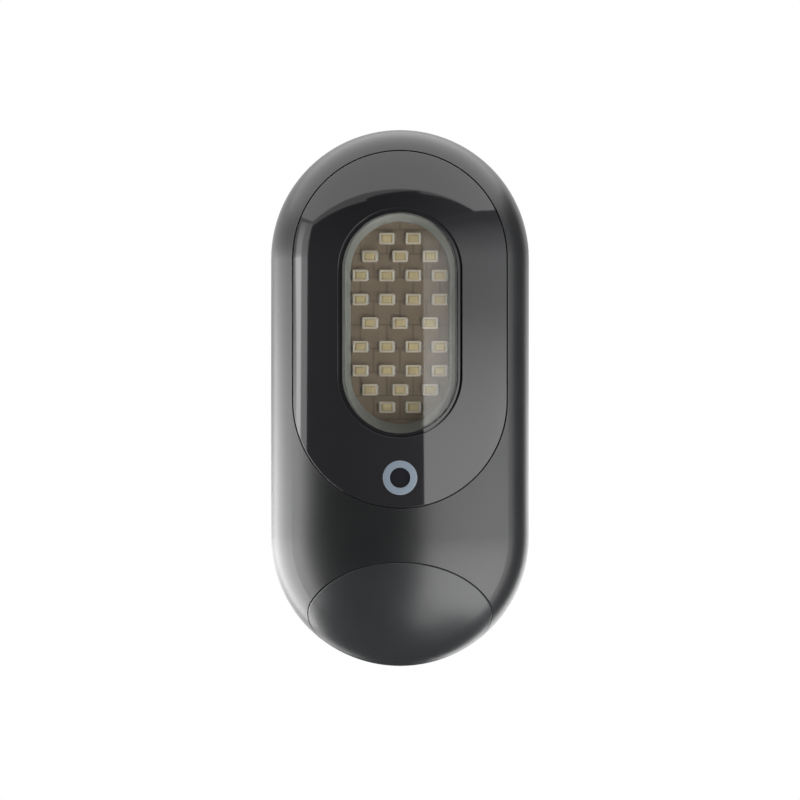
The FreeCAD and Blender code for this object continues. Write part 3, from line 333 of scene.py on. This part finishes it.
def finish(name, colour, roughness, metallic=0.0, grain=None, wear=0.0, edge=0.0002, **values):
    """A material that varies a little, is paler along its edges as wear and as a painted
    highlight, and may have a grain.
    """
    paint = bpy.data.materials.new(name)
    nodes, links = node_tree(paint)
    place = nodes.new("ShaderNodeTexCoord")
    shader = nodes.new("ShaderNodeBsdfPrincipled")
    out = nodes.new("ShaderNodeOutputMaterial")
    cloud = nodes.new("ShaderNodeTexNoise")
    cloud.inputs["Scale"].default_value = CLOUD_SCALE
    cloud.inputs["Detail"].default_value = CLOUD_DETAIL
    links.new(place.outputs["Object"], cloud.inputs["Vector"])
    tone = nodes.new("ShaderNodeMix")
    tone.data_type = "RGBA"
    tone.inputs["A"].default_value = (*[level * (1 - wear) for level in colour], 1)
    tone.inputs["B"].default_value = (*[level * (1 + wear) for level in colour], 1)
    links.new(cloud.outputs["Fac"], tone.inputs["Factor"])
    # Edges painted paler: partly wear, partly a painted highlight along them.
    edge_wear_and_highlight = nodes.new("ShaderNodeMix")
    edge_wear_and_highlight.data_type = "RGBA"
    edge_wear_and_highlight.inputs["B"].default_value = (*[min(level * EDGE_WEAR_AND_HIGHLIGHT_GAIN, 1.0) for level in colour], 1)
    links.new(tone.outputs["Result"], edge_wear_and_highlight.inputs["A"])
    links.new(edge_wear_and_highlight.outputs["Result"], shader.inputs["Base Color"])
    spread = nodes.new("ShaderNodeMapRange")
    spread.inputs["To Min"].default_value = roughness * (1 - ROUGHNESS_DRIFT)
    spread.inputs["To Max"].default_value = roughness * (1 + ROUGHNESS_DRIFT)
    links.new(cloud.outputs["Fac"], spread.inputs["Value"])
    links.new(spread.outputs["Result"], shader.inputs["Roughness"])
    shader.inputs["Metallic"].default_value = metallic
    for socket, value in values.items():
        shader.inputs[socket.replace("_", " ")].default_value = value
    soft_edge = nodes.new("ShaderNodeBevel")
    soft_edge.samples = EDGE_SAMPLES
    soft_edge.inputs["Radius"].default_value = edge
    links.new(soft_edge.outputs[0], shader.inputs["Normal"])
    surface = nodes.new("ShaderNodeNewGeometry")
    turn = nodes.new("ShaderNodeVectorMath")
    turn.operation = "DOT_PRODUCT"
    links.new(soft_edge.outputs[0], turn.inputs[0])
    links.new(surface.outputs["Normal"], turn.inputs[1])
    edge_wear_and_highlight_mask = nodes.new("ShaderNodeMapRange")
    edge_wear_and_highlight_mask.inputs["From Min"].default_value = EDGE_WEAR_AND_HIGHLIGHT_FROM
    edge_wear_and_highlight_mask.inputs["From Max"].default_value = EDGE_WEAR_AND_HIGHLIGHT_FULL
    edge_wear_and_highlight_mask.inputs["To Max"].default_value = EDGE_WEAR_AND_HIGHLIGHT_SHARE
    links.new(turn.outputs["Value"], edge_wear_and_highlight_mask.inputs["Value"])
    links.new(edge_wear_and_highlight_mask.outputs["Result"], edge_wear_and_highlight.inputs["Factor"])
    if grain:
        size, height = grain
        pits = nodes.new("ShaderNodeTexNoise")
        pits.inputs["Scale"].default_value = 1 / size
        pits.inputs["Detail"].default_value = PIT_DETAIL
        links.new(place.outputs["Object"], pits.inputs["Vector"])
        relief = nodes.new("ShaderNodeBump")
        links.new(soft_edge.outputs[0], relief.inputs["Normal"])
        relief.inputs["Strength"].default_value = 1.0
        relief.inputs["Distance"].default_value = height
        links.new(pits.outputs["Fac"], relief.inputs["Height"])
        links.new(relief.outputs["Normal"], shader.inputs["Normal"])
    links.new(shader.outputs[0], out.inputs["Surface"])
    return paint


def paint_node(node, paint):
    """Give every material slot of a CAD node this material."""
    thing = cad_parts[node]
    if not thing.material_slots:
        thing.data.materials.append(paint)
    for place in thing.material_slots:
        place.material = paint


def with_true_normals(name, node, paint):
    """The node's own form with its shading mended where a crown comes to a point in the mesh."""
    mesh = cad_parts[node].data.copy()
    turned = []
    for face in mesh.polygons:
        for corner in face.loop_indices:
            held = mesh.corner_normals[corner].vector
            turned.append(held if held.dot(face.normal) > POLE_LIMIT else face.normal.copy())
    mesh.normals_split_custom_set(turned)
    made = bpy.data.objects.new(name, mesh)
    bpy.context.scene.collection.objects.link(made)
    mesh.materials.clear()
    mesh.materials.append(paint)
    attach(made, "housing")
    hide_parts(node)
    return made


charcoal = finish("charcoal_shell", (0.017, 0.0175, 0.0185), 0.31, grain=GRAIN, wear=0.06)
with_true_normals("front_shell", "front_housing", charcoal)


# Window: a crowned pane of black acrylic, moulded and polished, that lies in a ledge of the front
# housing. Its four posts behind hold the lamps, and its lower part has the hole of the dusk eye.
window_gloss = finish("window_gloss", (0.0245, 0.0237, 0.026), 0.055, wear=0.05)
paint_node("window_bezel", window_gloss)


# Seals: soft black silicone. The window's and the lens's are thin cut rings that stick them down;
# the cord between the housings and the one round the battery bay are laid in grooves.
rubber = finish("seal_rubber", (0.022, 0.022, 0.022), 0.7, grain=(0.0004, 0.000008), wear=0.1)
for node in ("bezel_seal", "lens_gasket", "housing_seal", "door_seal"):
    paint_node(node, rubber)


# Lamp lens: clear polycarbonate, moulded to the window's own crown and polished, with a flange
# that a thin ring of silicone holds to the back of the window.
LENS_IOR = 1.4
SMEAR_SCALE = 60.0
SMEAR_DRIFT = 0.3


def clear_plastic(name, tint, roughness):
    """Clear plastic that light passes through to what lies behind it."""
    paint = bpy.data.materials.new(name)
    nodes, links = node_tree(paint)
    place = nodes.new("ShaderNodeTexCoord")
    smear = nodes.new("ShaderNodeTexNoise")
    smear.inputs["Scale"].default_value = SMEAR_SCALE
    spread = nodes.new("ShaderNodeMapRange")
    spread.inputs["To Min"].default_value = roughness * (1 - SMEAR_DRIFT)
    spread.inputs["To Max"].default_value = roughness * (1 + SMEAR_DRIFT)
    glass = nodes.new("ShaderNodeBsdfPrincipled")
    glass.inputs["Base Color"].default_value = (*tint, 1)
    glass.inputs["IOR"].default_value = LENS_IOR
    glass.inputs["Transmission Weight"].default_value = 1.0
    clear = nodes.new("ShaderNodeBsdfTransparent")
    clear.inputs["Color"].default_value = (*tint, 1)
    path = nodes.new("ShaderNodeLightPath")
    choice = nodes.new("ShaderNodeMixShader")
    out = nodes.new("ShaderNodeOutputMaterial")
    links.new(place.outputs["Object"], smear.inputs["Vector"])
    links.new(smear.outputs["Fac"], spread.inputs["Value"])
    links.new(spread.outputs["Result"], glass.inputs["Roughness"])
    links.new(path.outputs["Is Shadow Ray"], choice.inputs[0])
    links.new(glass.outputs[0], choice.inputs[1])
    links.new(clear.outputs[0], choice.inputs[2])
    links.new(choice.outputs[0], out.inputs["Surface"])
    return paint


lens_clear = clear_plastic("clear_plastic", (0.93, 0.95, 0.93), 0.02)
with_true_normals("lamp_lens", "led_lens", lens_clear)


# Reflector: a light grey polycarbonate ring round the lamps, moulded with a flaring wall that
# turns their side light forward, and a flat foot that the heat sink clamps.
paint_node("reflector_tray", finish("tray_grey", (0.225, 0.225, 0.213), 0.34, wear=0.04))


# Lamp board: aluminium with a warm brown-grey solder mask, printed copper pours that show through
# it as slightly lighter fields, and thin gaps between them.
BOARD_FIELD = (0.0064, 0.0058)
BOARD_GAP = 0.00022
BOARD_GAP_BLUR = 0.1
BOARD_TONES = ((0.195, 0.143, 0.102, 1), (0.178, 0.130, 0.092, 1))
BOARD_GAP_TONE = (0.128, 0.094, 0.068, 1)
BOARD_CLOUD = 300.0
BOARD_ROUGHNESS = (0.42, 0.55)
board_paint = bpy.data.materials.new("lamp_board_mask")
nodes, links = node_tree(board_paint)
place = nodes.new("ShaderNodeTexCoord")
part = nodes.new("ShaderNodeSeparateXYZ")
flat = nodes.new("ShaderNodeCombineXYZ")
fields = nodes.new("ShaderNodeTexBrick")
fields.inputs["Color1"].default_value = BOARD_TONES[0]
fields.inputs["Color2"].default_value = BOARD_TONES[1]
fields.inputs["Mortar"].default_value = BOARD_GAP_TONE
fields.inputs["Scale"].default_value = 1.0
fields.inputs["Mortar Size"].default_value = BOARD_GAP
fields.inputs["Mortar Smooth"].default_value = BOARD_GAP_BLUR
fields.inputs["Brick Width"].default_value = BOARD_FIELD[0]
fields.inputs["Row Height"].default_value = BOARD_FIELD[1]
cloud = nodes.new("ShaderNodeTexNoise")
cloud.inputs["Scale"].default_value = BOARD_CLOUD
spread = nodes.new("ShaderNodeMapRange")
spread.inputs["To Min"].default_value = BOARD_ROUGHNESS[0]
spread.inputs["To Max"].default_value = BOARD_ROUGHNESS[1]
shader = nodes.new("ShaderNodeBsdfPrincipled")
out = nodes.new("ShaderNodeOutputMaterial")
links.new(place.outputs["Object"], part.inputs[0])
links.new(part.outputs["X"], flat.inputs["X"])
links.new(part.outputs["Z"], flat.inputs["Y"])
links.new(flat.outputs[0], fields.inputs["Vector"])
links.new(place.outputs["Object"], cloud.inputs["Vector"])
links.new(cloud.outputs["Fac"], spread.inputs["Value"])
links.new(spread.outputs["Result"], shader.inputs["Roughness"])
links.new(fields.outputs["Color"], shader.inputs["Base Color"])
links.new(shader.outputs[0], out.inputs["Surface"])
paint_node("led_board", board_paint)


# Lamps: 29 surface-mount packages of cream moulding compound, soldered to the board at both ends.
# Yellow phosphor gel fills each one's well and bulges a little.
LAMP_PITCH = 0.0064
LAMP_SPREAD = 0.0073
LAMP_ROWS = ((0.0, 3), (0.0058, 4), (0.0117, 4), (0.0164, 3), (0.0207, 2))
PACKAGE = (0.0035, 0.0008, 0.0028)
PACKAGE_RIM = 0.00045
WELL_DEPTH = 0.00015
GEL_STEPS = 6
GEL_GAP = 0.00001
GEL_SINK = 0.92
GEL_BULGE = 0.9
FILLET_REACH = 0.00035
FILLET_RISE = 0.00045
FILLET_HALF = 0.0011
FILLET_KNEE = (0.35, 0.45)


def mesh_piece(name, points, faces, paint, body="housing", smooth=True):
    """A new piece with its faces, its material and the body that it rides on."""
    mesh = bpy.data.meshes.new(name)
    mesh.from_pydata([tuple(float(value) for value in point) for point in points], [], faces)
    mesh.validate()
    if smooth:
        mesh.shade_smooth()
    mesh.materials.append(paint)
    made = bpy.data.objects.new(name, mesh)
    bpy.context.scene.collection.objects.link(made)
    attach(made, body)
    return made


def lamp_centres():
    """X and Z of every lamp, rows narrowing towards the round ends of the board."""
    board_low, board_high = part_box("led_board")
    rise = (board_low.z + board_high.z) / 2
    near, far = LAMP_PITCH / 2, LAMP_PITCH * 1.5
    columns = {
        2: (-near, near),
        3: (-LAMP_SPREAD, 0.0, LAMP_SPREAD),
        4: (-far, -near, near, far),
    }
    for offset, count in LAMP_ROWS:
        for side in (1, -1) if offset else (1,):
            for x in columns[count]:
                yield x, rise + side * offset


def add_gel(points, faces, x, z, front):
    """One lamp's gel: a closed pad that fills the well and bulges towards its middle."""
    start = len(points)
    stride = GEL_STEPS + 1
    half_x = PACKAGE[0] / 2 - PACKAGE_RIM - GEL_GAP
    half_z = PACKAGE[2] / 2 - PACKAGE_RIM - GEL_GAP
    for row in range(stride):
        for column in range(stride):
            u = 2 * column / GEL_STEPS - 1
            v = 2 * row / GEL_STEPS - 1
            bulge = WELL_DEPTH * GEL_BULGE * (1 - u**4) * (1 - v**4)
            points.append((x + u * half_x, front + WELL_DEPTH * GEL_SINK - bulge, z + v * half_z))
    for row in range(GEL_STEPS):
        for column in range(GEL_STEPS):
            corner = start + row * stride + column
            faces.append((corner, corner + 1, corner + stride + 1, corner + stride))
    rim = [start + column for column in range(GEL_STEPS)]
    rim += [start + row * stride + GEL_STEPS for row in range(GEL_STEPS)]
    rim += [start + GEL_STEPS * stride + column for column in range(GEL_STEPS, 0, -1)]
    rim += [start + row * stride for row in range(GEL_STEPS, 0, -1)]
    foot = len(points)
    points += [(points[index][0], front + WELL_DEPTH, points[index][2]) for index in rim]
    for index, corner in enumerate(rim):
        after = (index + 1) % len(rim)
        faces.append((corner, foot + index, foot + after, rim[after]))
    faces.append(tuple(foot + index for index in reversed(range(len(rim)))))


def add_solder(points, faces, x, z, foot):
    """The two solder fillets of one lamp, one at each end of its package."""
    for side in (-1, 1):
        start = len(points)
        root = x + side * PACKAGE[0] / 2
        knee = root + side * FILLET_REACH * FILLET_KNEE[0]
        for end in (-1, 1):
            level = z + end * FILLET_HALF
            points += [
                (root, foot, level),
                (root + side * FILLET_REACH, foot, level),
                (knee, foot - FILLET_RISE * FILLET_KNEE[1], level),
                (root, foot - FILLET_RISE, level),
            ]
        turned = (0, 1, 2, 3) if side > 0 else (3, 2, 1, 0)
        faces.append(tuple(start + index for index in turned))
        faces.append(tuple(start + 4 + index for index in reversed(turned)))
        for place in range(4):
            first, second = turned[place], turned[(place + 1) % 4]
            faces.append((start + second, start + first, start + 4 + first, start + 4 + second))


lamp_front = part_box("led_packages")[0].y
lamp_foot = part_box("led_packages")[1].y
gel_mesh, gel_faces, solder_mesh, solder_faces = [], [], [], []
for lamp_x, lamp_z in lamp_centres():
    add_gel(gel_mesh, gel_faces, lamp_x, lamp_z, lamp_front)
    add_solder(solder_mesh, solder_faces, lamp_x, lamp_z, lamp_foot)
paint_node("led_packages", finish("lamp_cream", (0.50, 0.43, 0.36), 0.35, wear=0.05, edge=0.00008))
gel_paint = finish("phosphor_gel", (0.48, 0.38, 0.22), 0.3, wear=0.12, edge=0.00005)
mesh_piece("lamp_phosphor", gel_mesh, gel_faces, gel_paint)
solder_paint = finish("solder_tin", (0.55, 0.55, 0.54), 0.35, 1.0, wear=0.08)
mesh_piece("lamp_solder", solder_mesh, solder_faces, solder_paint, smooth=False)


# Heat sink: an aluminium extrusion with seven fins, left bare, with two ears milled down for the
# screws that pull it, the lamp board and the reflector against the window's posts.
paint_node("heat_sink", finish("sink_aluminium", (0.62, 0.62, 0.63), 0.38, 1.0, wear=0.05))


# Screws and pin: zinc-plated pan-head screws, cut and rolled, and a drawn stainless hinge pin that
# is pressed into the ears of the rear housing.
steel = finish("plated_steel", (0.56, 0.56, 0.57), 0.32, 1.0, wear=0.08)
for node in ("led_screws", "board_screws", "housing_screws"):
    paint_node(node, steel)
paint_node("hinge_pin", finish("drawn_steel", (0.58, 0.58, 0.58), 0.25, 1.0, wear=0.06))


# Dusk eye: a ring cemented flush in the window, painted pale blue-grey as a painted highlight of
# light catching its rim, and a smoked light pipe that is put in from behind, both moulded. The
# pipe leads to the light sensor on the main board.
# The ring's pale blue-grey colour is a painted highlight, standing in for light caught on its rim.
paint_node("dusk_sensor_ring", finish("pale_trim", (0.23, 0.28, 0.335), 0.3, wear=0.05))
paint_node("dusk_light_pipe", finish("smoked_pipe", (0.02, 0.02, 0.024), 0.08, wear=0.05))


# Boards: glass-epoxy with a green solder mask, and black epoxy packages soldered to the back of
# the larger one. It stands on four posts of the battery bay; the small one lies on the wedge.
board_green = finish("board_green", (0.02, 0.10, 0.045), 0.3, wear=0.15)
for node in ("main_board", "pir_board"):
    paint_node(node, board_green)
chip_black = finish("chip_epoxy", (0.02, 0.02, 0.02), 0.5, wear=0.1)
for node in ("dusk_sensor", "board_chips", "sync_switch"):
    paint_node(node, chip_black)


# Cans: drawn from thin nickel-plated steel. The square one is soldered over the parts of the
# radio's own small board, and the round one, the motion sensor, to the board on the wedge.
can_nickel = finish("can_nickel", (0.60, 0.60, 0.58), 0.3, 1.0, wear=0.05)
for node in ("radio_module", "pir_sensor"):
    paint_node(node, can_nickel)


# Wedge of the motion sensor: black nylon, moulded. It is cemented to the front wall of the battery
# bay, behind the chin, and aims the sensor's board down and out.
paint_node("pir_bracket", finish("wedge_nylon", (0.05, 0.05, 0.05), 0.5, wear=0.08))


# Chin: the motion sensor's lens, thin charcoal polyethylene that lets body heat through, moulded
# with facets inside and a lip that lies behind the edge of the front housing.
chin_paint = finish("chin_polyethylene", (0.0275, 0.0285, 0.030), 0.32, grain=GRAIN, wear=0.05)
paint_node("pir_lens", chin_paint)


# Rear housing: the same charcoal polycarbonate as the front, moulded in one piece with the
# battery bay, the frame of its door, the screw wells and the sleeves of socket and button.
paint_node("rear_housing", charcoal)


# Battery pack: two cells side by side in dark blue shrink wrap, with a plain paper label wound
# round the middle and left bare. It slides into the bay from behind.
paint_node("battery_pack", finish("shrink_wrap", (0.045, 0.085, 0.16), 0.2, wear=0.1))
LABEL_HALF = 0.016
LABEL_SKINS = (0.00009, 0.00001)
LABEL_STEPS = 10
PACK_RADIUS = 0.0092
SHARP_EDGE = math.radians(40)
pack_low, pack_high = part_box("battery_pack")
pack_middle = (pack_low.z + pack_high.z) / 2
wound = []
for corner, (right_side, back_side) in enumerate(((1, 1), (0, 1), (0, 0), (1, 0))):
    centre_x = pack_high.x - PACK_RADIUS if right_side else pack_low.x + PACK_RADIUS
    centre_y = pack_high.y - PACK_RADIUS if back_side else pack_low.y + PACK_RADIUS
    for step in range(LABEL_STEPS + 1):
        turn = math.radians(90 * (corner + step / LABEL_STEPS))
        wound.append((centre_x, centre_y, math.cos(turn), math.sin(turn)))
label_mesh = []
for skin, side in ((0, -1), (0, 1), (1, 1), (1, -1)):
    reach = PACK_RADIUS + LABEL_SKINS[skin]
    level = pack_middle + side * LABEL_HALF
    label_mesh += [
        (x + reach * across, y + reach * along, level) for x, y, across, along in wound
    ]
count = len(wound)
label_faces = [
    (
        row * count + step,
        row * count + (step + 1) % count,
        (row + 1) % 4 * count + (step + 1) % count,
        (row + 1) % 4 * count + step,
    )
    for row in range(4)
    for step in range(count)
]
label_paint = finish(
    "label_paper", (0.42, 0.40, 0.34), 0.75, grain=(0.0006, 0.00001), wear=0.1, edge=0.00003
)
label = mesh_piece("pack_label", label_mesh, label_faces, label_paint)
label.data.set_sharp_from_angle(angle=SHARP_EDGE)


# Contacts: three blades of spring bronze, stamped and gold-plated. They are fixed under the
# ceiling of the battery bay and press on the pads at the top of the pack.
paint_node("battery_contacts", finish("contact_gold", (0.80, 0.62, 0.28), 0.25, 1.0, wear=0.05))


# Battery door: charcoal polycarbonate like the housings, moulded with a rolled hinge edge, a snap
# bead and three grip grooves beside the finger notch.
paint_node("battery_door", charcoal)


# Stand socket: a brass insert, turned, tapped with a quarter-inch camera thread and pressed into
# the rear housing. The thread is cut outward from the bore's core size.
THREAD_CORE = 0.00255
THREAD_ROOT = 0.00318
THREAD_PITCH = 0.00127
THREAD_DEPTH = 0.0085
THREAD_SINK = 0.0006
THREAD_FLANK = 0.44
INSERT_RADIUS = 0.004
TURNS_SIDES = 96
ROWS_A_TURN = 14
EDGE_ROUND = 0.00015
EDGE_STEP = 0.3
socket_low, socket_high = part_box("stand_socket")
socket_z = (socket_low.z + socket_high.z) / 2
mouth_y = socket_high.y


def bore_radius(depth, turn):
    """The radius of the tapped bore at a depth below the mouth, at a turn about its axis."""
    phase = (depth / THREAD_PITCH + turn / (2 * math.pi)) % 1.0
    groove = max(0.0, 1 - abs(phase - 0.5) / THREAD_FLANK)
    sunk = max(0.0, 1 - depth / THREAD_SINK)
    reach = THREAD_CORE + (THREAD_ROOT - THREAD_CORE) * max(groove, sunk)
    return reach + EDGE_ROUND * 2 * sunk


def socket_rows():
    """Depth and kind of each row of the insert's mesh, from its outer wall in to the floor."""
    yield socket_high.y - socket_low.y, "wall"
    yield EDGE_ROUND, "wall"
    yield EDGE_ROUND * EDGE_STEP, "rim"
    yield 0.0, "face"
    rows = round(THREAD_DEPTH / THREAD_PITCH * ROWS_A_TURN)
    for row in range(rows + 1):
        yield THREAD_DEPTH * row / rows, "bore"


socket_mesh = []
row_kinds = list(socket_rows())
for depth, kind in row_kinds:
    for side in range(TURNS_SIDES):
        turn = 2 * math.pi * side / TURNS_SIDES
        reach = {
            "wall": INSERT_RADIUS,
            "rim": INSERT_RADIUS - EDGE_ROUND * EDGE_STEP,
            "face": INSERT_RADIUS - EDGE_ROUND,
        }.get(kind)
        if reach is None:
            reach = bore_radius(depth, turn)
        socket_mesh.append(
            (reach * math.cos(turn), mouth_y - depth, socket_z + reach * math.sin(turn))
        )
socket_faces = [
    (
        row * TURNS_SIDES + side,
        (row + 1) * TURNS_SIDES + side,
        (row + 1) * TURNS_SIDES + (side + 1) % TURNS_SIDES,
        row * TURNS_SIDES + (side + 1) % TURNS_SIDES,
    )
    for row in range(len(row_kinds) - 1)
    for side in range(TURNS_SIDES)
]
socket_faces.append(tuple(range(TURNS_SIDES)))
last_row = (len(row_kinds) - 1) * TURNS_SIDES
socket_faces.append(tuple(reversed(range(last_row, last_row + TURNS_SIDES))))
brass = finish("turned_brass", (0.62, 0.46, 0.21), 0.28, 1.0, wear=0.08)
insert = mesh_piece("threaded_insert", socket_mesh, socket_faces, brass)
insert.data.set_sharp_from_angle(angle=SHARP_EDGE)
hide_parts("stand_socket")


# Pairing button: a moulded cap with a soft charcoal coating. It slides in its sleeve in the rear
# housing, held in by a flange, and its stem reaches the switch on the main board.
paint_node("sync_button", finish("button_soft", (0.055, 0.055, 0.058), 0.5, wear=0.06))
